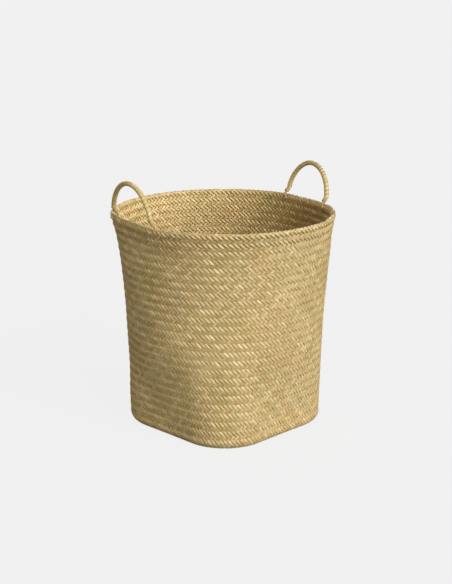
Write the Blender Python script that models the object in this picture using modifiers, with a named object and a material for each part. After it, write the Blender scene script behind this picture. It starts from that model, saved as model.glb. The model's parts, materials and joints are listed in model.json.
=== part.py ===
"""Seagrass storage basket: a double-walled woven basket with two hinged cord handles.

The bottom is a rounded square that turns into a round mouth. The wall is two woven layers,
one inside the other, joined over the top by the rim fold. Each handle is an arched cord
whose two ends are turned round the rim, through holes just below the fold, so it swings
about the straight stretch of rim between its feet.

Metres, +Z up. The origin is the centre of the underside; the handles stand on +X and -X.
"""

import math

import bmesh
import bpy
from mathutils import Matrix, Vector

# Basket body
HEIGHT = 0.392              # mean height of the top of the rim fold
FLARE_RADIUS = 0.202        # outside of the wall that the flare alone would give the mouth
WAIST_RADIUS = 0.1765       # outside of the wall low down, where it is narrowest
FLARE_POWER = 3.5           # how late the wall spreads from waist to mouth
FOOT_BULGE = 0.0025         # extra radius just above the bottom edge
FOOT_BULGE_HEIGHT = 0.045
FOOT_BULGE_SPREAD = 0.030
BASE_HALF_SIDE = 0.148      # rounded square of the bottom
BASE_CORNER = 0.086
BASE_TURN = math.radians(11)  # the square is turned this far from the handles
ROUND_BY = 0.200            # height at which the square section has become round
EDGE_RADIUS = 0.012         # rounding between bottom and wall

# Woven layers
LAYER = 0.0015              # thickness of one layer
LAYER_GAP = 0.0004
GAP = 0.0003                # clearance between pieces that touch
SIDES = 56                  # facets round the wall

# Rim fold: a channel turned over both layers' top edges
FOLD_WIDTH = 0.0054
FOLD_HEIGHT = 0.0050
FOLD_TOP = 0.0018           # thickness above the layers' edges
FOLD_CORNER = 0.0010        # chamfer of the top corners
FOLD_ROOM = 0.0004          # clearance of the layers inside the channel, each side and above

# The mouth is a little off centre and out of level, and straight between each handle's feet
MOUTH_RADIUS = 0.1995       # outside of the wall at the mouth
MOUTH_SHIFT = 0.0039
MOUTH_SHIFT_TOWARDS = math.radians(196)
TILT = 0.0020               # the mouth's highest point above its mean height
TILT_TOWARDS = math.radians(230)
STRAIGHT_SHARPNESS = 40.0
PULL_DEPTH = 0.080          # how far down the wall the mouth's own shape reaches

# Handles
CORD_RADIUS = 0.0021
EYE_RADIUS = 0.0077         # centre line of the cord's turn round the rim
EYE_END = math.radians(60)  # where the turned cord's tip ends, outside the rim
LEG = 0.010                 # straight leg below the arch
LEG_SHIFT_BY = 0.018        # height at which the leg is back in the arch's plane
WRAP_RADIUS = 0.0040
WRAP_FROM = 0.0143          # distance along the leg, from the hinge axis
LASHING_RADIUS = 0.0046
LASHING_FROM = 0.0065
SLEEVE_BORE = CORD_RADIUS + 0.0005  # the facets of a tube cut inside its radius
HOLE_MARGIN = 0.0009        # room round the cord in the wall's holes

# What differs between the two handles. turn: direction from the middle. straight: from the
# axis to the outside of the wall between the feet. foot: half the span between the feet.
# crown: the arch's centre line above the hinge axis. point: 1 for a round arch, more for
# one with a narrower top. lean: outwards.
HANDLES = {
    "right": {"turn": 0.0, "straight": 0.1885, "foot": 0.057, "crown": 0.0685, "point": 1.0,
              "lean": math.radians(11), "feet": ("front", "back")},
    "left": {"turn": math.radians(178), "straight": 0.1925, "foot": 0.067, "crown": 0.068,
             "point": 1.3, "lean": math.radians(4.5), "feet": ("back", "front")},
}

STACK = 2 * LAYER + LAYER_GAP


def smoothstep(value):
    value = min(max(value, 0.0), 1.0)
    return value * value * (3 - 2 * value)


def square_radius(angle):
    """Distance from the centre to the bottom's rounded square, in this direction."""
    quarter = math.pi / 2
    turn = abs((angle - BASE_TURN + quarter / 2) % quarter - quarter / 2)
    inner = BASE_HALF_SIDE - BASE_CORNER
    if BASE_HALF_SIDE * math.tan(turn) <= inner:
        return BASE_HALF_SIDE / math.cos(turn)
    along = inner * (math.cos(turn) + math.sin(turn))
    return along + math.sqrt(along * along - 2 * inner * inner + BASE_CORNER ** 2)


def round_radius(height):
    """Radius of the round part of the wall at this height."""
    flare = (FLARE_RADIUS - WAIST_RADIUS) * (height / HEIGHT) ** FLARE_POWER
    bulge = math.exp(-(((height - FOOT_BULGE_HEIGHT) / FOOT_BULGE_SPREAD) ** 2))
    return WAIST_RADIUS + flare + FOOT_BULGE * bulge


def mouth_radius(angle):
    """Radius of the mouth: round, but straight between each handle's feet."""
    power = -STRAIGHT_SHARPNESS
    around = MOUTH_RADIUS + MOUTH_SHIFT * math.cos(angle - MOUTH_SHIFT_TOWARDS)
    total = around ** power
    for shape in HANDLES.values():
        facing = math.cos(angle - shape["turn"])
        if facing > 0.1:
            total += (shape["straight"] / facing) ** power
    return total ** (1 / power)


def pull(height):
    return smoothstep((height - (HEIGHT - PULL_DEPTH)) / PULL_DEPTH)


def wall_radius(angle, height):
    """Distance from the centre to the wall's outside."""
    roundness = smoothstep(height / ROUND_BY)
    radius = (1 - roundness) * square_radius(angle) + roundness * round_radius(height)
    return radius * (1 - pull(height) * (1 - mouth_radius(angle) / FLARE_RADIUS))


def lift(angle):
    """How far the mouth stands above its mean height at this angle."""
    return TILT * math.cos(angle - TILT_TOWARDS)


def wall_point(angle, height, depth):
    """A point of the wall, this far inside its outer surface."""
    radius = wall_radius(angle, height) - depth
    level = height + lift(angle) * pull(height)
    return Vector((radius * math.cos(angle), radius * math.sin(angle), level))


def angles():
    return [2 * math.pi * index / SIDES for index in range(SIDES)]


def new_collection(name):
    collection = bpy.data.collections.new(name)
    bpy.context.scene.collection.children.link(collection)
    return collection


def clear_scene():
    for item in list(bpy.data.objects):
        bpy.data.objects.remove(item, do_unlink=True)


def material(name, colour, roughness):
    made = bpy.data.materials.new(name)
    made.use_nodes = True
    shader = made.node_tree.nodes["Principled BSDF"]
    shader.inputs["Base Color"].default_value = (*colour, 1)
    shader.inputs["Roughness"].default_value = roughness
    shader.inputs["Metallic"].default_value = 0
    return made


def add_object(name, data, collection, finish):
    item = bpy.data.objects.new(name, data)
    collection.objects.link(item)
    data.materials.append(finish)
    return item


def loft(name, rings, join_ends):
    """A mesh through rings of points; the last ring joins the first when join_ends is set."""
    mesh = bpy.data.meshes.new(name)
    shape = bmesh.new()
    rows = [[shape.verts.new(point) for point in ring] for ring in rings]
    following = rows[1:] + (rows[:1] if join_ends else [])
    for row, after in zip(rows, following):
        count = len(row)
        for index in range(count):
            beside = (index + 1) % count
            shape.faces.new((row[index], row[beside], after[beside], after[index]))
    # the same diagonals everywhere, so that nested layers keep their distance
    bmesh.ops.triangulate(shape, faces=shape.faces[:], quad_method="FIXED")
    if not join_ends:
        shape.faces.new(list(reversed(rows[0])))
    shape.to_mesh(mesh)
    shape.free()
    mesh.shade_smooth()
    return mesh


def woven_layer(name, depth, collection, finish, cutters):
    """One layer: bottom and wall as an open surface, thickened inwards, with the eye holes."""
    rings = []
    edge = EDGE_RADIUS - depth
    edge_steps = 3
    for step in range(edge_steps):
        turn = math.pi / 2 * step / edge_steps
        inset = EDGE_RADIUS - edge * math.sin(turn)
        level = EDGE_RADIUS - edge * math.cos(turn)
        ring = []
        for angle in angles():
            point = wall_point(angle, EDGE_RADIUS, inset)
            ring.append((point.x, point.y, level))
        rings.append(ring)
    under_fold = HEIGHT - 2.4 * FOLD_HEIGHT
    wall_steps = 9
    heights = [
        EDGE_RADIUS + (under_fold - EDGE_RADIUS) * step / wall_steps
        for step in range(wall_steps + 1)
    ]
    heights.append(HEIGHT - FOLD_TOP - 1.5 * FOLD_ROOM)
    for height in heights:
        rings.append([wall_point(angle, height, depth) for angle in angles()])
    layer = add_object(name, loft(name, rings, join_ends=False), collection, finish)
    thicken = layer.modifiers.new("thickness", "SOLIDIFY")
    thicken.thickness = LAYER
    thicken.offset = -1
    thicken.use_even_offset = True
    for cutter in cutters:
        hole = layer.modifiers.new("hole", "BOOLEAN")
        hole.operation = "DIFFERENCE"
        hole.object = cutter
        hole.solver = "EXACT"
    return layer


def rim_fold(collection, finish):
    """The turned edge: a channel round the mouth, open downwards over both layers."""
    half = FOLD_WIDTH / 2
    slot = STACK / 2 + FOLD_ROOM
    section = [
        (half, -FOLD_HEIGHT),
        (slot, -FOLD_HEIGHT),
        (slot, -FOLD_TOP),
        (-slot, -FOLD_TOP),
        (-slot, -FOLD_HEIGHT),
        (-half, -FOLD_HEIGHT),
        (-half, -FOLD_CORNER),
        (-half + FOLD_CORNER, 0.0),
        (half - FOLD_CORNER, 0.0),
        (half, -FOLD_CORNER),
    ]
    rings = []
    for angle in angles():
        outward = Vector((math.cos(angle), math.sin(angle), 0))
        ring = []
        for across, up in section:
            middle = wall_point(angle, HEIGHT + up, STACK / 2)
            ring.append(middle + outward * across)
        rings.append(ring)
    return add_object("rim_fold", loft("rim_fold", rings, join_ends=True), collection, finish)


def hinge_centre(shape):
    """Middle of a handle's hinge axis, before the handle is turned to its own direction."""
    foot_angle = math.atan2(shape["foot"], shape["straight"])
    for _ in range(3):
        turns = [shape["turn"] + side * foot_angle for side in (-1, 1)]
        feet = [wall_point(turn, HEIGHT, STACK / 2) for turn in turns]
        foot_angle *= 2 * shape["foot"] / (feet[1] - feet[0]).length
    middle = Matrix.Rotation(-shape["turn"], 4, "Z") @ ((feet[0] + feet[1]) / 2)
    return Vector((middle.x, 0, middle.z - FOLD_HEIGHT / 2))


def eye_cutter(name, place, turn, collection):
    """A ring round the rim, slightly fatter than the cord's turn, that opens the wall."""
    bpy.ops.mesh.primitive_torus_add(
        major_segments=20,
        minor_segments=8,
        major_radius=EYE_RADIUS,
        minor_radius=CORD_RADIUS + HOLE_MARGIN,
        location=place,
        rotation=(math.pi / 2, 0, turn),
    )
    cutter = bpy.context.active_object
    cutter.name = name
    for owner in list(cutter.users_collection):
        owner.objects.unlink(cutter)
    collection.objects.link(cutter)
    cutter.hide_render = True
    cutter.display_type = "WIRE"
    return cutter


def eye_points():
    """The cord's turn round the rim, from its tip to the inner side, in (out, up)."""
    steps = 13
    start = EYE_END
    finish = -math.pi
    turns = [start + (finish - start) * step / steps for step in range(steps)]
    return [(EYE_RADIUS * math.cos(turn), EYE_RADIUS * math.sin(turn)) for turn in turns]


def leg_out(up):
    """The leg starts inside the rim and comes back into the arch's plane as it rises."""
    return -EYE_RADIUS * (1 - smoothstep(up / LEG_SHIFT_BY))


def arch_path(shape, from_up):
    """Centre line of the cord above a height on its legs, from foot to foot."""
    foot = shape["foot"]
    leg_steps = 3
    arch_steps = 24
    points = []
    for step in range(leg_steps):
        up = from_up + (LEG - from_up) * step / leg_steps
        if up < LEG:
            points.append((-foot, up))
    for step in range(arch_steps + 1):
        turn = math.pi * step / arch_steps
        up = LEG + (shape["crown"] - LEG) * max(math.sin(turn), 0.0) ** shape["point"]
        if up >= from_up:
            points.append((-foot * math.cos(turn), up))
    for step in range(leg_steps - 1, -1, -1):
        up = from_up + (LEG - from_up) * step / leg_steps
        if up < LEG:
            points.append((foot, up))
    return [Vector((leg_out(up), along, up)) for along, up in points]


def cord_path(shape):
    """The whole cord: round the rim, over the arch, and round the rim again."""
    first = [Vector((out, -shape["foot"], up)) for out, up in eye_points()]
    last = [Vector((out, shape["foot"], up)) for out, up in reversed(eye_points())]
    return first + arch_path(shape, 0.0) + last


def stretch(path, start, end):
    """The part of a path between two distances along it, with even end points."""
    lengths = [0.0]
    for before, after in zip(path, path[1:]):
        lengths.append(lengths[-1] + (after - before).length)
    picked = [point_at(path, lengths, start)]
    picked += [point for point, far in zip(path, lengths) if start + 0.001 < far < end - 0.001]
    picked.append(point_at(path, lengths, end))
    return picked


def point_at(path, lengths, far):
    for index in range(len(path) - 1):
        if lengths[index + 1] >= far:
            share = (far - lengths[index]) / (lengths[index + 1] - lengths[index])
            return path[index].lerp(path[index + 1], share)
    return path[-1]


def path_length(path):
    return sum((after - before).length for before, after in zip(path, path[1:]))


def tube_curve(name, points, radius, caps):
    curve = bpy.data.curves.new(name, "CURVE")
    curve.dimensions = "3D"
    curve.bevel_depth = radius
    curve.bevel_resolution = 2
    curve.use_fill_caps = caps
    spline = curve.splines.new("POLY")
    spline.points.add(len(points) - 1)
    for target, point in zip(spline.points, points):
        target.co = (*point, 1)
    return curve


def sleeve(name, points, radius, collection, finish):
    """A hollow tube round a stretch of the cord, with the cord's bore."""
    curve = tube_curve(name, points, radius, caps=False)
    guide = bpy.data.objects.new(name + "_guide", curve)
    collection.objects.link(guide)
    evaluated = guide.evaluated_get(bpy.context.evaluated_depsgraph_get())
    mesh = bpy.data.meshes.new_from_object(evaluated)
    mesh.name = name
    bpy.data.objects.remove(guide, do_unlink=True)
    item = add_object(name, mesh, collection, finish)
    thicken = item.modifiers.new("thickness", "SOLIDIFY")
    thicken.thickness = radius - SLEEVE_BORE
    thicken.offset = -1
    thicken.use_even_offset = True
    return item


def handle(side, shape, collection, finishes):
    """One handle on its hinge, built facing +X and turned to its own direction."""
    feet = shape["feet"]
    hinge = bpy.data.objects.new(f"handle_{side}_hinge", None)
    collection.objects.link(hinge)
    swing = Matrix.Translation(hinge_centre(shape)) @ Matrix.Rotation(shape["lean"], 4, "Y")
    hinge.matrix_world = Matrix.Rotation(shape["turn"], 4, "Z") @ swing
    name = f"handle_{side}_cord"
    curve = tube_curve(name, cord_path(shape), CORD_RADIUS, caps=True)
    pieces = [add_object(name, curve, collection, finishes["cord"])]
    above_rim = arch_path(shape, 0.0)
    whole = path_length(above_rim)
    lashing_end = WRAP_FROM - GAP
    sleeves = [
        ("wrap", "wrap", WRAP_FROM, whole - WRAP_FROM, WRAP_RADIUS),
        (f"lashing_{feet[0]}", "lashing", LASHING_FROM, lashing_end, LASHING_RADIUS),
        (f"lashing_{feet[1]}", "lashing", whole - lashing_end, whole - LASHING_FROM, LASHING_RADIUS),
    ]
    for piece, finish, start, end, radius in sleeves:
        along = stretch(above_rim, start, end)
        name = f"handle_{side}_{piece}"
        pieces.append(sleeve(name, along, radius, collection, finishes[finish]))
    for piece in pieces:
        piece.parent = hinge


def main():
    clear_scene()
    basket = new_collection("seagrass_basket")
    helpers = new_collection("cutters")
    outer_finish = material("seagrass_outer", (0.46, 0.34, 0.16), 0.62)
    inner_finish = material("seagrass_inner", (0.43, 0.31, 0.14), 0.66)
    fold_finish = material("seagrass_fold", (0.50, 0.38, 0.19), 0.60)
    handle_finishes = {
        "cord": material("handle_cord", (0.36, 0.27, 0.13), 0.70),
        "wrap": material("handle_wrap", (0.47, 0.36, 0.18), 0.58),
        "lashing": material("handle_lashing", (0.42, 0.31, 0.15), 0.62),
    }
    cutters = []
    for side, shape in HANDLES.items():
        centre, turned = hinge_centre(shape), Matrix.Rotation(shape["turn"], 4, "Z")
        for foot_name, along in zip(shape["feet"], (-shape["foot"], shape["foot"])):
            place = turned @ (centre + Vector((0, along, 0)))
            name = f"eye_hole_{side}_{foot_name}"
            cutters.append(eye_cutter(name, place, shape["turn"], helpers))
    woven_layer("outer_weave", 0.0, basket, outer_finish, cutters)
    woven_layer("inner_weave", LAYER + LAYER_GAP, basket, inner_finish, cutters)
    rim_fold(basket, fold_finish)
    for side, shape in HANDLES.items():
        handle(side, shape, basket, handle_finishes)


main()
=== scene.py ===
"""Looks of the seagrass storage basket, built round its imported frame.

The body is one plaited sheet: flat strips in two families, leaning left and right, run from
the middle of the bottom up the outer wall, over the rim and down the inner wall to the floor.
Each strip passes over two and under two of the others. The handles are twisted cord, wound
with a flat strip and lashed at their feet. Metres, +Z up.
"""

import json
import math

import bpy
import numpy as np
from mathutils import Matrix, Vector


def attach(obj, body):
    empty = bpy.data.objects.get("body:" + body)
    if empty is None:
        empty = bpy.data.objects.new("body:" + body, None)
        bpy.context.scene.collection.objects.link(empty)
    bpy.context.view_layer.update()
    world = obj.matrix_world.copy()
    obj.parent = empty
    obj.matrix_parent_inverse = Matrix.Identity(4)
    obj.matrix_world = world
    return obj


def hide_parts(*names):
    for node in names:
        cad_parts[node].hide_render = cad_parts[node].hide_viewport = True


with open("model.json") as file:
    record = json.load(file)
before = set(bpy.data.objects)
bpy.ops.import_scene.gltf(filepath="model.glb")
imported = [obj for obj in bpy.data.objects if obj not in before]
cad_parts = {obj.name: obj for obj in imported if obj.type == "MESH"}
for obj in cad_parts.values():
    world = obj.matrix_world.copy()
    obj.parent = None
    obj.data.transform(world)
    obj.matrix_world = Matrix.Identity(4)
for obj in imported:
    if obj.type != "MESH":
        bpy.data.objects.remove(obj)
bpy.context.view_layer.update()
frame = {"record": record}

MM = 0.001

# The wall's shape, as the frame has it
HEIGHT = 392 * MM
FLARE_RADIUS = 202 * MM
WAIST_RADIUS = 176.5 * MM
FLARE_POWER = 3.5
FOOT_BULGE = 2.5 * MM
FOOT_BULGE_HEIGHT = 45 * MM
FOOT_BULGE_SPREAD = 30 * MM
BASE_HALF_SIDE = 148 * MM
BASE_CORNER = 86 * MM
BASE_TURN = math.radians(11)
ROUND_BY = 200 * MM
EDGE_RADIUS = 12 * MM
MOUTH_RADIUS = 199.5 * MM
MOUTH_SHIFT = 3.9 * MM
MOUTH_SHIFT_TOWARDS = math.radians(196)
TILT = 2.0 * MM
TILT_TOWARDS = math.radians(230)
STRAIGHT_SHARPNESS = 40.0
PULL_DEPTH = 80 * MM
STACK = 3.4 * MM             # both layers and the gap between them
HANDLES = {
    "right": {"turn": 0.0, "straight": 188.5 * MM, "foot": 57 * MM, "crown": 68.5 * MM,
              "point": 1.0, "lean": math.radians(11)},
    "left": {"turn": math.radians(178), "straight": 192.5 * MM, "foot": 67 * MM,
             "crown": 68 * MM, "point": 1.3, "lean": math.radians(4.5)},
}

# The weave
STRIPS = 140                 # strips of each lean round the wall, a multiple of four
WALL_ROWS = 99.5             # crossings from the bottom edge to where the rim's roll starts
RIM_ROWS = 2                 # crossings over the roll
LAST_ROW = 201               # crossings from the bottom edge, over the rim, to the inner floor
RIM_FIRST, RIM_LAST = 98, 103  # the rows that the rim's pieces cover
ROW_GROWTH = -0.18           # rows are this much lower at the rim than at the bottom
STEPS = 3                    # mesh steps from one crossing to the next
LAYER_OFFSET = 1.35 * MM     # each layer's middle, either side of the wall's middle
ROLL_RADIUS = 2.2 * MM       # the rim's roll
ROLL_BLEND = 10 * MM         # height over which the layers part to make the roll
THICK = {1: 1.15 * MM, -1: 1.50 * MM}  # the strips of each lean
LIFT = {1: 0.42 * MM, -1: 0.76 * MM}  # how far the strips of each lean rise over the others
# painted light: the left-leaning strips are drawn 5% lighter and the right-leaning ones 5% darker, lit
# and shaded copies of one material for how the light catches each lean
LEAN_PAINTED_LIGHT = {1: 0.95, -1: 1.05}
PLUMP = 0.8                  # how much plumper the strips are towards the rim
PLUMP_ROWS = {"outside": (11, 4), "inside": (45, 30)}  # rows from the rim, and fading rows
PRESSED = 0.4 * MM           # height below which the underside is pressed flat
FLAT_ROWS = 1.8              # rows either side of the rim's top where they are pressed flat
WAVINESS = 0.6 * MM          # how far the wall strays from its even shape
WALL_GROUPS = 4              # pieces for each lean of each layer
HOLE_RADIUS = 3.2 * MM       # room for a handle's cord through the wall
HOLE_REACH = 20 * MM         # how far from a handle's foot the strips make room for it

# A strip's width, as a share of the room it has
UNDER_WIDTH = 0.90           # where it dives under the others
OVER_EXTRA = 0.13            # more than that where it is over them
PLUMP_LESS = 0.09            # less than that where it is plump
FLAT_EXTRA = 0.19            # more than that over the rim's top
FLAT_LESS = 0.7              # share of its height that it loses there

# How unevenly a strip lies
HEIGHT_WANDER = 0.18
WIDTH_WANDER = 0.06
SLIP = 0.25 * MM             # sideways
ROLL = 0.13                  # radians about its own length
BASE_ROLL = 0.12
BASE_RISE = 0.82             # height of the bottom's strips over that of the wall's

# The handles' cord
EYE_RADIUS = 6.8 * MM        # the cord's turn round the rim
EYE_END = math.radians(-15)  # where the turned cord's tip ends, outside the rim
LEG = 10 * MM                # straight leg below the arch
LEG_SHIFT_BY = 16 * MM       # height at which the leg is back in the arch's plane
SWAY = 1.1 * MM              # how far the arch strays from its plane
STRAND_PITCH = 10 * MM
STRAND_OFFSET = 1.20 * MM    # from the cord's middle to each strand's
STRAND_RADIUS = 1.28 * MM

# The strip wound round the cord, and the turns of strand at its feet
WRAP_FROM = 14.3 * MM        # distance along the leg, from the hinge axis
WRAP_LAP = 1.5 * MM          # how far the winding goes over the turns of strand
WRAP_PITCH = 7.0 * MM
WRAP_RADIUS = 3.9 * MM
WRAP_HALF_WIDTH = 4.4 * MM
WRAP_THICK = 1.0 * MM
WRAP_TUCK = 0.50 * MM        # each turn's one edge is that much under the turn before
WRAP_EASE = 2.5 * MM         # length over which the winding's ends come down onto the cord
CORE_RADIUS = 3.4 * MM       # filling between the cord and its winding
CORE_FROM = 7.5 * MM
LASHING_FROM = 6.8 * MM
LASHING_PITCH = 1.6 * MM
LASHING_RADIUS = 3.35 * MM
LASHING_STRAND = 0.82 * MM

RNG = np.random.default_rng(7)


# ---------------------------------------------------------------- the wall's surface

def smoothstep(value):
    value = np.clip(value, 0.0, 1.0)
    return value * value * (3 - 2 * value)


def square_radius(angle):
    """Distance from the centre to the bottom's rounded square, in this direction."""
    quarter = math.pi / 2
    turn = np.abs((angle - BASE_TURN + quarter / 2) % quarter - quarter / 2)
    inner = BASE_HALF_SIDE - BASE_CORNER
    flat = BASE_HALF_SIDE / np.cos(turn)
    along = inner * (np.cos(turn) + np.sin(turn))
    corner = along + np.sqrt(np.maximum(along * along - 2 * inner * inner + BASE_CORNER ** 2, 0))
    return np.where(BASE_HALF_SIDE * np.tan(turn) <= inner, flat, corner)


def round_radius(height):
    flare = (FLARE_RADIUS - WAIST_RADIUS) * np.clip(height / HEIGHT, 0, 2) ** FLARE_POWER
    bulge = np.exp(-(((height - FOOT_BULGE_HEIGHT) / FOOT_BULGE_SPREAD) ** 2))
    return WAIST_RADIUS + flare + FOOT_BULGE * bulge


def mouth_radius(angle):
    power = -STRAIGHT_SHARPNESS
    total = (MOUTH_RADIUS + MOUTH_SHIFT * np.cos(angle - MOUTH_SHIFT_TOWARDS)) ** power
    for shape in HANDLES.values():
        facing = np.maximum(np.cos(angle - shape["turn"]), 0.1)
        total = total + (shape["straight"] / facing) ** power
    return total ** (1 / power)


def pull(height):
    return smoothstep((height - (HEIGHT - PULL_DEPTH)) / PULL_DEPTH)


def wall_radius(angle, height):
    roundness = smoothstep(height / ROUND_BY)
    radius = (1 - roundness) * square_radius(angle) + roundness * round_radius(height)
    return radius * (1 - pull(height) * (1 - mouth_radius(angle) / FLARE_RADIUS))


def lift(angle):
    return TILT * np.cos(angle - TILT_TOWARDS)


def waviness(angle, height):
    """The slight unevenness of a wall woven by hand."""
    return WAVINESS * (
        np.sin(3 * angle + 14 * height + 0.6)
        + 0.6 * np.sin(7 * angle - 31 * height + 2.1)
        + 0.4 * np.sin(13 * angle + 47 * height + 4.0)
    ) * smoothstep(height / (60 * MM))


def outline_table():
    """Arc length round the bottom's rounded square against angle, from the middle of a side."""
    angles = np.linspace(0, 2 * math.pi, 2881)
    radius = square_radius(angles + BASE_TURN)
    x, y = radius * np.cos(angles), radius * np.sin(angles)
    lengths = np.concatenate([[0], np.cumsum(np.hypot(np.diff(x), np.diff(y)))])
    return lengths / lengths[-1], angles


OUTLINE_SHARE, OUTLINE_ANGLE = outline_table()


def base_angle(around):
    """Direction of a place on the bottom's edge; around counts strips from a side's middle."""
    turns = np.floor(around / STRIPS)
    share = around / STRIPS - turns
    return np.interp(share, OUTLINE_SHARE, OUTLINE_ANGLE) + 2 * math.pi * turns + BASE_TURN


EDGE_ARC = EDGE_RADIUS * math.pi / 4          # from the middle of the rounded edge to its end
ROLL_CENTRE = HEIGHT - ROLL_RADIUS - THICK[-1]
WALL_RUN = EDGE_ARC + ROLL_CENTRE - EDGE_RADIUS


def wall_run(rows):
    """Distance up the wall from the middle of the bottom edge, for a number of rows."""
    share = rows / WALL_ROWS
    return WALL_RUN * share * (1 - ROW_GROWTH / 2 + ROW_GROWTH / 2 * share)


def wall_surface(around, row):
    """A point of the woven sheet: around counts strips, row counts crossings.

    Rows run up the outer wall, over the rim and down the inner wall.
    """
    over = row - WALL_ROWS
    turned = np.clip(over / RIM_ROWS, 0, 1) * math.pi
    rows = np.where(over > RIM_ROWS, 2 * WALL_ROWS + RIM_ROWS - row, np.minimum(row, WALL_ROWS))
    run = wall_run(rows)
    in_edge = np.clip(run / EDGE_ARC, 0, 1)
    edge_turn = math.pi / 4 * (1 + in_edge)
    height = np.where(run < EDGE_ARC, EDGE_RADIUS * (1 - np.cos(edge_turn)),
                      EDGE_RADIUS + run - EDGE_ARC)
    parting = smoothstep((height - (ROLL_CENTRE - ROLL_BLEND)) / ROLL_BLEND)
    offset = (LAYER_OFFSET + (ROLL_RADIUS - LAYER_OFFSET) * parting) * np.cos(turned)
    depth = STACK / 2 - offset
    roundness = smoothstep(height / ROUND_BY)
    even = 2 * math.pi * around / STRIPS + BASE_TURN
    angle = (1 - roundness) * base_angle(around) + roundness * even
    level = height + ROLL_RADIUS * np.sin(turned)
    radius = wall_radius(angle, level) + waviness(angle, level)
    radius = radius - EDGE_RADIUS * (1 - np.sin(edge_turn)) - depth * np.sin(edge_turn)
    up = level + lift(angle) * pull(level) + depth * np.cos(edge_turn)
    return np.stack([radius * np.cos(angle), radius * np.sin(angle), up], -1)


def base_surface(x, y, depth):
    """A point of the bottom; x and y count crossings from its middle, along its sides."""
    half = STRIPS / 4
    reach = np.maximum(np.abs(x), np.abs(y))
    on_x = np.abs(x) >= np.abs(y)
    side = np.where(on_x, np.where(x > 0, 0, 2), np.where(y > 0, 1, 3))
    across = np.select([side == 0, side == 1, side == 2, side == 3], [y, -x, -y, x])
    angle = base_angle(half * side + half / 2 * across / np.maximum(reach, 1e-6))
    share = reach / half
    flat = square_radius(angle) - EDGE_RADIUS
    run = (1 - share) * (flat + EDGE_ARC)     # inwards from the middle of the rounded edge
    edge_turn = math.pi / 4 * (1 - np.clip(run / EDGE_ARC, 0, 1))
    arc = EDGE_RADIUS - depth
    radius = np.where(run < EDGE_ARC, flat + arc * np.sin(edge_turn), flat + EDGE_ARC - run)
    up = np.where(run < EDGE_ARC, EDGE_RADIUS - arc * np.cos(edge_turn), depth)
    rounded = np.stack([radius * np.cos(angle), radius * np.sin(angle)], -1)
    turn = np.array([[math.cos(BASE_TURN), math.sin(BASE_TURN)],
                     [-math.sin(BASE_TURN), math.cos(BASE_TURN)]])
    plain = np.stack([x, y], -1) * (BASE_HALF_SIDE / half) @ turn
    weight = smoothstep(share)[..., None]
    return np.concatenate([rounded * weight + plain * (1 - weight), up[..., None]], -1)


# ---------------------------------------------------------------- strips

# A strip's cross-section: across in half widths, and up in thicknesses
SECTION = np.array([(-1.0, -0.25), (-0.86, 0.06), (-0.50, 0.38), (0.0, 0.50),
                    (0.50, 0.38), (0.86, 0.06), (1.0, -0.25), (0.0, -0.42)])


def unit(vectors):
    return vectors / np.maximum(np.linalg.norm(vectors, axis=-1, keepdims=True), 1e-12)


def wander(strips, samples, every):
    """Smooth random numbers from -1 to 1 along each strip, with a knot every so many samples."""
    values = RNG.uniform(-1, 1, (strips, samples // every + 2))
    place = np.arange(samples) / every
    start = place.astype(int)
    share = smoothstep(place - start)
    return values[:, start] * (1 - share) + values[:, start + 1] * share


def swept(centre, across, normal, half_width, thickness, section=SECTION, tuck=0.0):
    """Closed strips round their centre lines; tuck sinks one edge and raises the other."""
    reach = half_width[..., None, None] * section[:, 0][:, None]
    thickness = np.asarray(thickness)[..., None, None]
    rise = thickness * section[:, 1][:, None] + tuck * section[:, 0][:, None]
    return centre[..., None, :] + across[..., None, :] * reach + normal[..., None, :] * rise


def strip_facts(centre, tones, section=SECTION):
    """For each point: length along the strip, place across it, the strip's tone, and its heading."""
    steps = np.linalg.norm(np.diff(centre, axis=1), axis=-1)
    along = np.concatenate([np.zeros((len(centre), 1)), np.cumsum(steps, 1)], 1)
    facts = np.empty((*along.shape, len(section), 6))
    facts[..., 0] = along[:, :, None]
    facts[..., 1] = section[:, 0]
    facts[..., 2] = tones[:, None, None]
    facts[..., 3:] = unit(np.gradient(centre, axis=1))[:, :, None]
    return facts


def tube_mesh(name, tubes):
    """One mesh of closed tubes; each entry is points[tube, along, round] and their facts."""
    vertices, facts, corners, sizes, used = [], [], [], [], 0
    for points, fact in tubes:
        count, length, ring, _ = points.shape
        index = used + np.arange(count * length * ring).reshape(count, length, ring)
        near, far = index[:, :-1], index[:, 1:]
        quads = np.stack([near, np.roll(near, -1, 2), np.roll(far, -1, 2), far], -1).reshape(-1, 4)
        caps = np.concatenate([index[:, 0, ::-1], index[:, -1]])
        corners += [quads.ravel(), caps.ravel()]
        sizes += [np.full(len(quads), 4), np.full(len(caps), ring)]
        vertices.append(points.reshape(-1, 3))
        facts.append(fact.reshape(-1, 6))
        used += count * length * ring
    vertices, facts = np.concatenate(vertices), np.concatenate(facts)
    corners, sizes = np.concatenate(corners), np.concatenate(sizes)
    starts = np.concatenate([[0], np.cumsum(sizes)[:-1]])
    mesh = bpy.data.meshes.new(name)
    mesh.vertices.add(len(vertices))
    mesh.vertices.foreach_set("co", vertices.astype(np.float32).ravel())
    mesh.loops.add(len(corners))
    mesh.loops.foreach_set("vertex_index", corners.astype(np.int32))
    mesh.polygons.add(len(sizes))
    mesh.polygons.foreach_set("loop_start", starts.astype(np.int32))
    mesh.polygons.foreach_set("use_smooth", np.ones(len(sizes), bool))
    mesh.update(calc_edges=True)
    for label, columns in (("strip", facts[:, :3]), ("heading", facts[:, 3:])):
        layer = mesh.attributes.new(label, "FLOAT_VECTOR", "POINT")
        layer.data.foreach_set("vector", columns.astype(np.float32).ravel())
    return mesh


def add_piece(name, tubes, body, nodes, finish):
    mesh = tube_mesh(name, tubes)
    mesh.materials.append(finish)
    piece = bpy.data.objects.new(name, mesh)
    bpy.context.scene.collection.objects.link(piece)
    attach(piece, body)
    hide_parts(*nodes)
    return piece


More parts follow.
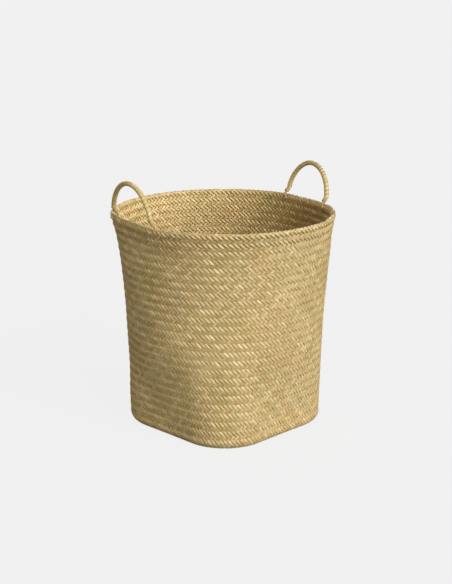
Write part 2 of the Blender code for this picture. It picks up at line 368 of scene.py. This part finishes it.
def weave_height(phase):
    """Height of a strip over the sheet's middle: over two, under two."""
    wave = np.cos(math.pi / 2 * (phase - 0.5))
    return wave * (1.3 - 0.3 * wave * wave)


def surface_frame(surface, first, second, step):
    """Points, normals and the two directions of a surface given in two running numbers."""
    here = surface(first, second)
    by_first = (surface(first + step, second) - surface(first - step, second)) / (2 * step)
    by_second = (surface(first, second + step) - surface(first, second - step)) / (2 * step)
    return here, unit(np.cross(by_first, by_second)), by_first, by_second


def hinge(side):
    """A handle's hinge as the record has it: a point, and its along, out and up directions."""
    joints = {joint["name"]: joint for joint in frame["record"]["behaviour"]["joints"]}
    joint = joints[f"handle_{side}_swing"]
    along = unit(np.array(joint["axis"], float))
    return np.array(joint["pos_m"], float), along, np.cross(along, (0, 0, 1)), np.array((0, 0, 1.0))


def opened(points):
    """The sheet's points moved aside from the handles' cords, where they pass through."""
    shape = points.shape
    points = points.reshape(-1, 3)
    for side, spec in HANDLES.items():
        middle, along, out, up = hinge(side)
        for foot in (-spec["foot"], spec["foot"]):
            place = points - (middle + along * foot)
            near = np.flatnonzero(np.linalg.norm(place, axis=1) < HOLE_REACH)
            local = place[near]
            a, o, u = local @ along, local @ out, local @ up
            around = np.maximum(np.hypot(o, u), 1e-6)
            inward = around - EYE_RADIUS
            far = np.maximum(np.hypot(inward, a), 1e-6)
            moved = (far ** 4 + HOLE_RADIUS ** 4) ** 0.25 / far
            radial = (EYE_RADIUS + inward * moved) / around
            new = (along * (a * moved)[:, None] + out * (o * radial)[:, None]
                   + up * (u * radial)[:, None])
            points[near] = middle + along * foot + new
    return points.reshape(shape)


def wall_strips(lean, chosen, first_row, last_row, tones, widths):
    """The strips of one lean, between two rows; lean +1 goes right as it rises."""
    samples = (last_row - first_row) * STEPS + 1
    row = np.linspace(first_row, last_row, samples)[None].repeat(len(chosen), 0)
    around = chosen[:, None] + lean * row / 2
    here, normal, by_around, by_row = surface_frame(wall_surface, around, row, 0.02)
    heading = by_around / 2 * lean + by_row
    cell = np.linalg.norm(np.cross(by_around, by_row), axis=-1)
    spacing = cell / np.linalg.norm(heading, axis=-1)
    heading = unit(heading)
    aside = np.cross(heading, normal)
    height = lean * weave_height(row)
    from_top = np.abs(row - WALL_ROWS - RIM_ROWS / 2)
    reach, fade = PLUMP_ROWS["outside" if last_row <= RIM_LAST else "inside"]
    plumper = smoothstep((reach - from_top) / fade)
    plump = 1 + PLUMP * plumper
    flat = smoothstep(1 - from_top / FLAT_ROWS)
    # a strip is squeezed narrow where it dives under the others, and more so where it is plump
    fullness = UNDER_WIDTH + OVER_EXTRA * smoothstep(height) - PLUMP_LESS * plumper + FLAT_EXTRA * flat
    uneven = 1 + HEIGHT_WANDER * wander(len(chosen), samples, 2 * STEPS)
    height = height * plump * (1 - FLAT_LESS * flat) * uneven
    slip = SLIP * wander(len(chosen), samples, 5 * STEPS)
    centre = here + normal * (LIFT[lean] * height)[..., None] + aside * slip[..., None]
    half_width = spacing / 2 * fullness * widths[:, None]
    half_width = half_width * (1 + WIDTH_WANDER * wander(len(chosen), samples, 7 * STEPS))
    roll = (ROLL * plump ** 2 * wander(len(chosen), samples, 2 * STEPS))[..., None]
    facing = normal * np.cos(roll) - aside * np.sin(roll)
    # stay square to the strip as it climbs and dives
    path = unit(np.gradient(centre, axis=1))
    facing = unit(facing - path * np.sum(facing * path, -1, keepdims=True))
    across = np.cross(path, facing)
    points = opened(swept(centre, across, facing, half_width, THICK[lean] * (plump - PLUMP * flat)))
    return points, strip_facts(centre, tones)


def add_wall(name, first_row, last_row, groups, slot, finishes):
    for lean, side in ((1, "right"), (-1, "left")):
        for group, chosen in enumerate(np.array_split(np.arange(STRIPS), groups)):
            tubes = wall_strips(lean, chosen, first_row, last_row,
                                TONES[side][chosen], WIDTHS[side][chosen])
            label = f"{name}_{side}_{group + 1}" if groups > 1 else f"{name}_{side}"
            add_piece(label, [tubes], "basket", [slot], finishes[lean])


def base_over(x, y, slope, inner):
    """+1 where the bottom's strip of this slope is over at a crossing, else -1."""
    reach = np.maximum(np.abs(x), np.abs(y)) - STRIPS // 4
    row = LAST_ROW - reach if inner else reach
    in_x = np.abs(x) >= np.abs(y)
    leans_right = in_x == (slope > 0)
    return np.where((row.astype(int) % 4 < 2) == leans_right, 1.0, -1.0)


def add_base(name, inner, slot, finishes):
    """The bottom's strips, which run along its diagonals and carry on up the wall."""
    half = STRIPS // 4
    depth = STACK / 2 + (LAYER_OFFSET if inner else -LAYER_OFFSET)
    outward = 1 if inner else -1

    def surface(x, y):
        return base_surface(x, y, depth)

    for slope, side in ((1, "right"), (-1, "left")):
        tubes = []
        for place in range(-2 * half + 1, 2 * half, 2):
            reach = (2 * half - abs(place)) / 2
            crossings = np.arange(-slope * place / 2 - reach, -slope * place / 2 + reach + 0.5)
            over = base_over(crossings, slope * crossings + place, slope, inner)
            samples = (len(crossings) - 1) * STEPS + 1
            x = np.linspace(crossings[0], crossings[-1], samples)[None]
            share = np.arange(samples) / STEPS
            start = np.minimum(share.astype(int), len(over) - 2)
            blend = smoothstep(share - start)
            height = BASE_RISE * (over[start] * (1 - blend) + over[start + 1] * blend)[None]
            here, normal, by_x, by_y = surface_frame(surface, x, slope * x + place, 0.05)
            heading = by_x + slope * by_y
            cell = 2 * np.linalg.norm(np.cross(by_x, by_y), axis=-1)
            half_width = cell / np.linalg.norm(heading, axis=-1) / 2
            half_width = half_width * (UNDER_WIDTH + OVER_EXTRA * smoothstep(height))
            facing = normal * outward
            centre = here + facing * (LIFT[1] * height)[..., None]
            path = unit(np.gradient(centre, axis=1))
            roll = BASE_ROLL * wander(1, samples, 2 * STEPS)[..., None]
            facing = unit(facing + np.cross(path, facing) * roll)
            across = np.cross(path, facing)
            points = swept(centre, across, facing, half_width, THICK[1])
            # standing presses the underside flat
            up = points[..., 2]
            points[..., 2] = np.where(up < PRESSED, PRESSED * np.exp(up / PRESSED - 1), up)
            tubes.append((points, strip_facts(centre, RNG.uniform(0, 1, 1))))
        add_piece(f"{name}_{side}", tubes, "basket", [slot], finishes[slope])


# ---------------------------------------------------------------- handles

ROUND_SECTION = np.array([(math.cos(2 * math.pi * step / 10), math.sin(2 * math.pi * step / 10))
                          for step in range(10)])


def leg_out(up):
    return -EYE_RADIUS * (1 - smoothstep(up / LEG_SHIFT_BY))


def even_path(points, spacing):
    """The same path, with its points evenly spaced."""
    lengths = np.concatenate([[0], np.cumsum(np.linalg.norm(np.diff(points, axis=0), axis=1))])
    places = np.linspace(0, lengths[-1], int(lengths[-1] / spacing) + 1)
    return np.stack([np.interp(places, lengths, points[:, axis]) for axis in range(3)], -1)


def arch_path(spec):
    """The cord above the hinge axis, from foot to foot, as (out, along, up)."""
    leg = np.linspace(0, LEG, 12, endpoint=False)
    turn = np.linspace(0, math.pi, 160)
    along = np.concatenate([np.full(12, -spec["foot"]), -spec["foot"] * np.cos(turn),
                            np.full(12, spec["foot"])])
    arch_up = LEG + (spec["crown"] - LEG) * np.maximum(np.sin(turn), 0) ** spec["point"]
    up = np.concatenate([leg, arch_up, leg[::-1]])
    # a cord bent by hand is never quite even
    sway = SWAY * np.sin(along / spec["foot"] * 2.6 + spec["turn"]) * smoothstep(up / (40 * MM))
    return even_path(np.stack([leg_out(up) + sway, along, up], -1), 1 * MM)


def eye_path(foot):
    """The cord's turn round the rim, from its tip to the foot of its leg."""
    turns = np.linspace(EYE_END, -math.pi, 40)
    return np.stack([EYE_RADIUS * np.cos(turns), np.full(40, foot), EYE_RADIUS * np.sin(turns)], -1)


def path_frame(path):
    """Directions along and square to a path, without twist."""
    along = unit(np.gradient(path, axis=0))
    side = np.empty_like(path)
    start = np.array((1.0, 0.0, 0.0))
    side[0] = unit(start - along[0] * (start @ along[0]))
    for index in range(1, len(path)):
        carried = side[index - 1] - along[index] * (side[index - 1] @ along[index])
        side[index] = unit(carried)
    return along, side, np.cross(along, side)


def placed(points, side, spec):
    """Points of (out, along, up) in the leaning arch's plane, moved to their handle."""
    middle, along, out, up = hinge(side)
    cos, sin = math.cos(spec["lean"]), math.sin(spec["lean"])
    leaning_out, leaning_up = out * cos - up * sin, out * sin + up * cos
    return (middle + points[..., 0:1] * leaning_out + points[..., 1:2] * along
            + points[..., 2:3] * leaning_up)


def wound(path, pitch, radius, half_width, thickness, section, start=0.0, tuck=0.0, ease=0.0):
    """A strip or strand wound round a path, as a centre line and swept points."""
    fine = even_path(path, min(1 * MM, pitch / 18))
    _, first, second = path_frame(fine)
    length = np.arange(len(fine)) * np.linalg.norm(fine[1] - fine[0])
    turn = start + 2 * math.pi * length / pitch
    outward = first * np.cos(turn)[:, None] + second * np.sin(turn)[:, None]
    reach = np.full(len(fine), radius)
    if ease:
        reach = reach * (0.55 + 0.45 * smoothstep(np.minimum(length, length[-1] - length) / ease))
    centre = fine + outward * reach[:, None]
    heading = unit(np.gradient(centre, axis=0))
    outward = unit(outward - heading * np.sum(outward * heading, 1, keepdims=True))
    across = np.cross(heading, outward)
    widths = np.full(len(fine), half_width)
    points = swept(centre[None], across[None], outward[None], widths[None], thickness,
                   section, tuck)
    return centre[None], points


def tone(value):
    return np.array([value])


def add_strands(side, spec, arch, finish):
    """The whole cord: two strands twisted together, round the rim and over the arch."""
    whole = np.concatenate([eye_path(-spec["foot"])[:-1], arch, eye_path(spec["foot"])[::-1][1:]])
    strands = []
    for strand in range(2):
        centre, points = wound(whole, STRAND_PITCH, STRAND_OFFSET, STRAND_RADIUS, STRAND_RADIUS,
                               ROUND_SECTION, start=strand * math.pi)
        facts = strip_facts(centre, tone(0.3 * strand), ROUND_SECTION)
        strands.append((placed(points, side, spec), facts))
    add_piece(f"handle_{side}_strands", strands, f"handle_{side}", [f"handle_{side}_cord"],
              finish)


def add_winding(side, spec, arch, finish):
    """One long strip, each turn lapping the one before, over a core."""
    middle = stretch(arch, WRAP_FROM - WRAP_LAP)
    centre, points = wound(middle, WRAP_PITCH, WRAP_RADIUS, WRAP_HALF_WIDTH, WRAP_THICK, SECTION,
                           tuck=WRAP_TUCK, ease=WRAP_EASE)
    winding = [(placed(points, side, spec), strip_facts(centre, tone(0.6)))]
    core_path = stretch(arch, CORE_FROM)
    _, first, second = path_frame(core_path)
    radii = np.full((1, len(core_path)), CORE_RADIUS)
    core = swept(core_path[None], first[None], second[None], radii, CORE_RADIUS, ROUND_SECTION)
    facts = strip_facts(core_path[None], tone(0.1), ROUND_SECTION)
    winding.append((placed(core, side, spec), facts))
    add_piece(f"handle_{side}_winding", winding, f"handle_{side}", [f"handle_{side}_wrap"],
              finish)


def stretch(arch, short):
    """The arch without this length at each of its ends."""
    points = int(round(short / MM))
    return arch[points:len(arch) - points]


def add_lashings(side, spec, arch, finish):
    """A few close turns of strand at each foot."""
    feet = ("front", "back") if side == "right" else ("back", "front")
    for foot, name in enumerate(feet):
        leg = (arch if foot == 0 else arch[::-1])[int(LASHING_FROM / MM):int(WRAP_FROM / MM)]
        centre, points = wound(leg, LASHING_PITCH, LASHING_RADIUS, LASHING_STRAND, LASHING_STRAND,
                               ROUND_SECTION, start=foot)
        turns = [(placed(points, side, spec), strip_facts(centre, tone(0.8), ROUND_SECTION))]
        add_piece(f"handle_{side}_turns_{name}", turns, f"handle_{side}",
                  [f"handle_{side}_lashing_{name}"], finish)


# ---------------------------------------------------------------- materials

class Nodes:
    """Short ways to add nodes to one material."""

    def __init__(self, made):
        made.use_nodes = True
        self.nodes, self.links = made.node_tree.nodes, made.node_tree.links
        self.shader = self.nodes["Principled BSDF"]

    def feed(self, socket, value):
        if isinstance(value, bpy.types.NodeSocket):
            self.links.new(value, socket)
        elif isinstance(value, tuple):
            socket.default_value = (*value, 1)
        else:
            socket.default_value = value

    def maths(self, operation, *values):
        node = self.nodes.new("ShaderNodeMath")
        node.operation = operation
        for socket, value in zip(node.inputs, values):
            self.feed(socket, value)
        return node.outputs[0]

    def ranged(self, value, low, high, to_low, to_high):
        node = self.nodes.new("ShaderNodeMapRange")
        for key, number in (("Value", value), ("From Min", low), ("From Max", high),
                            ("To Min", to_low), ("To Max", to_high)):
            self.feed(node.inputs[key], number)
        return node.outputs[0]

    def noise(self, vector, detail):
        node = self.nodes.new("ShaderNodeTexNoise")
        node.inputs["Scale"].default_value = 1.0
        node.inputs["Detail"].default_value = detail
        self.links.new(vector, node.inputs["Vector"])
        return node.outputs["Fac"]

    def vector(self, *values):
        node = self.nodes.new("ShaderNodeCombineXYZ")
        for socket, value in zip(node.inputs, values):
            self.feed(socket, value)
        return node.outputs[0]

    def mix(self, kind, factor, first, second):
        node = self.nodes.new("ShaderNodeMix")
        node.data_type = "RGBA"
        node.blend_type = kind
        for socket, value in zip((node.inputs[0], *node.inputs[6:8]), (factor, first, second)):
            self.feed(socket, value)
        return node.outputs[2]

    def ramp(self, value, stops):
        node = self.nodes.new("ShaderNodeValToRGB")
        entries = node.color_ramp.elements
        while len(entries) < len(stops):
            entries.new(0.5)
        for entry, (place, colour) in zip(entries, stops):
            entry.position = place
            entry.color = (*colour, 1)
        self.links.new(value, node.inputs[0])
        return node.outputs[0]


STRAW = [
    (0.00, (0.590, 0.440, 0.190)),
    (0.16, (0.490, 0.375, 0.150)),
    (0.32, (0.680, 0.520, 0.245)),
    (0.48, (0.560, 0.380, 0.155)),
    (0.64, (0.740, 0.580, 0.290)),
    (0.80, (0.530, 0.410, 0.165)),
    (1.00, (0.590, 0.440, 0.190)),
]
# painted shade: the brown that each strip's long edges are darkened towards
EDGE_SHADE_BROWN = (0.240, 0.155, 0.060)
FLECK_BROWN = (0.150, 0.095, 0.045)
PATCH_SIZE = 55 * MM


def seagrass(name, brightness, edge_shade_share=0.45):
    """Dry seagrass: each strip its own straw tone, streaked along its length, and darker at its edges
    as painted shade.
    """
    made = bpy.data.materials.new(name)
    add = Nodes(made)
    strip = add.nodes.new("ShaderNodeAttribute")
    strip.attribute_name = "strip"
    parts = add.nodes.new("ShaderNodeSeparateXYZ")
    add.links.new(strip.outputs["Vector"], parts.inputs[0])
    along, across, number = parts.outputs

    def fibres(along_scale, across_scale, seed, detail):
        own = add.maths("MULTIPLY", number, seed)
        return add.noise(add.vector(add.maths("MULTIPLY", along, along_scale),
                                    add.maths("MULTIPLY", across, across_scale), own), detail)

    # a strip's own tone drifts along its length
    drift = add.maths("MULTIPLY", fibres(14.0, 0.0, 331.0, 1.0), 0.55)
    tint = add.maths("FRACT", add.maths("ADD", number, drift))
    stops = [(place, tuple(channel * brightness for channel in colour)) for place, colour in STRAW]
    colour = add.ramp(tint, stops)

    # streaks of fibre, coarse and fine
    streaks = fibres(38.0, 3.6, 517.0, 3.0)
    fine = fibres(210.0, 15.0, 877.0, 2.0)
    colour = add.mix("MULTIPLY", 1.0, colour, add.ranged(streaks, 0.28, 0.72, 0.74, 1.20))
    colour = add.mix("MULTIPLY", 1.0, colour, add.ranged(fine, 0.28, 0.72, 0.86, 1.12))

    # larger patches, greener or redder, as the bundles were picked
    place = add.nodes.new("ShaderNodeTexCoord").outputs["Object"]
    scaled = add.nodes.new("ShaderNodeVectorMath")
    scaled.operation = "SCALE"
    scaled.inputs["Scale"].default_value = 1 / PATCH_SIZE
    add.links.new(place, scaled.inputs[0])
    patches = add.noise(scaled.outputs[0], 2.0)
    colour = add.mix("MULTIPLY", 0.65, colour, add.ramp(patches, [
        (0.30, (0.84, 0.86, 0.70)), (0.50, (1.0, 1.0, 1.0)), (0.68, (1.0, 0.93, 0.86))]))

    # darker towards each strip's long edges: painted shade where the strips meet and dip under one
    # another; and a few dark flecks
    edge = add.maths("POWER", add.maths("ABSOLUTE", across), 4.0)
    colour = add.mix("MIX", add.maths("MULTIPLY", edge, edge_shade_share), colour, EDGE_SHADE_BROWN)
    flecks = fibres(60.0, 2.0, 1213.0, 2.0)
    colour = add.mix("MIX", add.ranged(flecks, 0.70, 0.78, 0.0, 0.6), colour, FLECK_BROWN)
    add.feed(add.shader.inputs["Base Color"], colour)

    # fibres spread the gloss across the strip and keep it tight along it
    heading = add.nodes.new("ShaderNodeAttribute")
    heading.attribute_name = "heading"
    turned = add.nodes.new("ShaderNodeVectorTransform")
    turned.vector_type, turned.convert_from, turned.convert_to = "VECTOR", "OBJECT", "WORLD"
    add.links.new(heading.outputs["Vector"], turned.inputs[0])
    add.links.new(turned.outputs[0], add.shader.inputs["Tangent"])
    add.feed(add.shader.inputs["Anisotropic"], 0.75)
    add.feed(add.shader.inputs["Anisotropic Rotation"], 0.25)
    add.feed(add.shader.inputs["Roughness"], add.ranged(streaks, 0.3, 0.7, 0.38, 0.52))
    add.feed(add.shader.inputs["Specular IOR Level"], 0.7)
    grain = add.maths("ADD", add.maths("MULTIPLY", streaks, 0.7), add.maths("MULTIPLY", fine, 0.5))
    bump = add.nodes.new("ShaderNodeBump")
    bump.inputs["Strength"].default_value = 0.6
    bump.inputs["Distance"].default_value = 0.3 * MM
    add.links.new(grain, bump.inputs["Height"])
    add.links.new(bump.outputs["Normal"], add.shader.inputs["Normal"])
    return made


# ---------------------------------------------------------------- stage

CAMERA_BEARING = -34         # degrees from -Y towards +X

# Each light's name, bearing from the camera and rise and width in degrees, strength and colour
LIGHTS = (
    ("key", 45, 19, 56, 3.95, (1.0, 0.99, 1.0)),
    ("fill", -62, 1, 2, 0.62, (1.0, 0.94, 0.82)),
    ("back", 185, 2, 40, 2.0, (1.0, 0.97, 0.92)),
    ("top", 5, 76, 30, 1.0, (1.0, 0.98, 0.95)),
)
SKY_LOW, SKY_HIGH = 0.34, 0.05  # the sky's strength near the horizon and overhead
SKY_COLOUR = (1, 0.94, 0.82)


def direction(bearing, rise):
    """A unit vector for a bearing from -Y towards +X and a rise over the floor, in degrees."""
    bearing, rise = math.radians(bearing), math.radians(rise)
    level = math.cos(rise)
    return Vector((math.sin(bearing) * level, -math.cos(bearing) * level, math.sin(rise)))


def add_camera():
    distance, level, aim_height, aim_right = 2.364, 0.910, 0.238, 0.0022
    camera = bpy.data.objects.new("camera", bpy.data.cameras.new("camera"))
    bpy.context.scene.collection.objects.link(camera)
    towards = direction(CAMERA_BEARING, 0)
    camera.location = towards * distance + Vector((0, 0, level))
    right = Vector((-towards.y, towards.x, 0))
    target = right * aim_right + Vector((0, 0, aim_height))
    camera.rotation_euler = (target - camera.location).to_track_quat("-Z", "Y").to_euler()
    camera.data.sensor_width = 36
    camera.data.sensor_fit = "HORIZONTAL"
    camera.data.lens = 107.5
    bpy.context.scene.camera = camera


def add_floor():
    """A plain pale floor: a sheet that glows evenly for the eye, over one that catches the light."""
    reach = 60
    for name, level, colour, glow in (("floor", 0, 0.04, 0.84), ("floor_bounce", -2 * MM, 0.12, 0)):
        mesh = bpy.data.meshes.new(name)
        corners = [(x * reach, y * reach, level) for x, y in ((-1, -1), (1, -1), (1, 1), (-1, 1))]
        mesh.from_pydata(corners, [], [(0, 1, 2, 3)])
        finish = bpy.data.materials.new(name)
        add = Nodes(finish)
        add.feed(add.shader.inputs["Base Color"], (colour, colour, colour))
        add.feed(add.shader.inputs["Roughness"], 1.0)
        add.feed(add.shader.inputs["Specular IOR Level"], 0.0)
        add.feed(add.shader.inputs["Emission Color"], (1.0, 1.0, 1.0))
        add.feed(add.shader.inputs["Emission Strength"], glow)
        mesh.materials.append(finish)
        sheet = bpy.data.objects.new(name, mesh)
        bpy.context.scene.collection.objects.link(sheet)
        if glow:
            # the bright sheet must not light the basket from below
            sheet.visible_diffuse = False
            sheet.visible_glossy = False
            sheet.visible_shadow = False


def add_light():
    world = bpy.data.worlds.new("studio")
    bpy.context.scene.world = world
    world.use_nodes = True
    nodes, links = world.node_tree.nodes, world.node_tree.links
    # brighter near the horizon than overhead, as between a studio's side lights
    sky = nodes.new("ShaderNodeSeparateXYZ")
    links.new(nodes.new("ShaderNodeTexCoord").outputs["Generated"], sky.inputs[0])
    strength = nodes.new("ShaderNodeMapRange")
    links.new(sky.outputs["Z"], strength.inputs["Value"])
    strength.inputs["To Min"].default_value = SKY_LOW
    strength.inputs["To Max"].default_value = SKY_HIGH
    links.new(strength.outputs[0], nodes["Background"].inputs["Strength"])
    nodes["Background"].inputs["Color"].default_value = (*SKY_COLOUR, 1)
    for name, bearing, rise, width, energy, colour in LIGHTS:
        light = bpy.data.lights.new(name, "SUN")
        light.energy = energy
        light.angle = math.radians(width)
        light.color = colour
        lamp = bpy.data.objects.new(name, light)
        towards = direction(CAMERA_BEARING + bearing, rise)
        lamp.rotation_euler = towards.to_track_quat("Z", "Y").to_euler()
        bpy.context.scene.collection.objects.link(lamp)


# ---------------------------------------------------------------- the scene

bpy.context.scene.view_settings.view_transform = "Standard"
add_camera()
add_floor()
add_light()

TONES = {side: RNG.uniform(0, 1, STRIPS) for side in ("right", "left")}
WIDTHS = {side: 1 + 0.05 * RNG.standard_normal(STRIPS).clip(-2, 2) for side in ("right", "left")}
# the inner and rim copies are painted light: the inner weave is drawn 18% lighter for the light
# falling into the mouth, with heavier painted shade at its strip edges, and the rim's strips 5%
# lighter as a painted highlight along the lip
outer_finish, inner_finish, rim_finish = (
    {lean: seagrass(f"seagrass_{name}_{lean}", brightness * LEAN_PAINTED_LIGHT[lean], edge_shade_share)
     for lean in (1, -1)}
    for name, brightness, edge_shade_share in (
        ("outer", 1.0, 0.45), ("inner", 1.18, 0.90), ("rim", 1.05, 0.45)))
add_wall("outer_strips", 0, RIM_FIRST, WALL_GROUPS, "outer_weave", outer_finish)
add_wall("rim_strips", RIM_FIRST, RIM_LAST, 1, "rim_fold", rim_finish)
add_wall("inner_strips", RIM_LAST, LAST_ROW, WALL_GROUPS, "inner_weave", inner_finish)
add_base("outer_base", False, "outer_weave", outer_finish)
add_base("inner_base", True, "inner_weave", inner_finish)

cord_finish = seagrass("handle_cord", 0.95)
# the winding's strips are darkened strongly at their edges, painted shade where each turn laps the
# next
wrap_finish = seagrass("handle_wrap", 1.15, edge_shade_share=0.9)
lashing_finish = seagrass("handle_lashing", 0.95)
for handle_side, handle_spec in HANDLES.items():
    handle_arch = arch_path(handle_spec)
    add_strands(handle_side, handle_spec, handle_arch, cord_finish)
    add_winding(handle_side, handle_spec, handle_arch, wrap_finish)
    add_lashings(handle_side, handle_spec, handle_arch, lashing_finish)
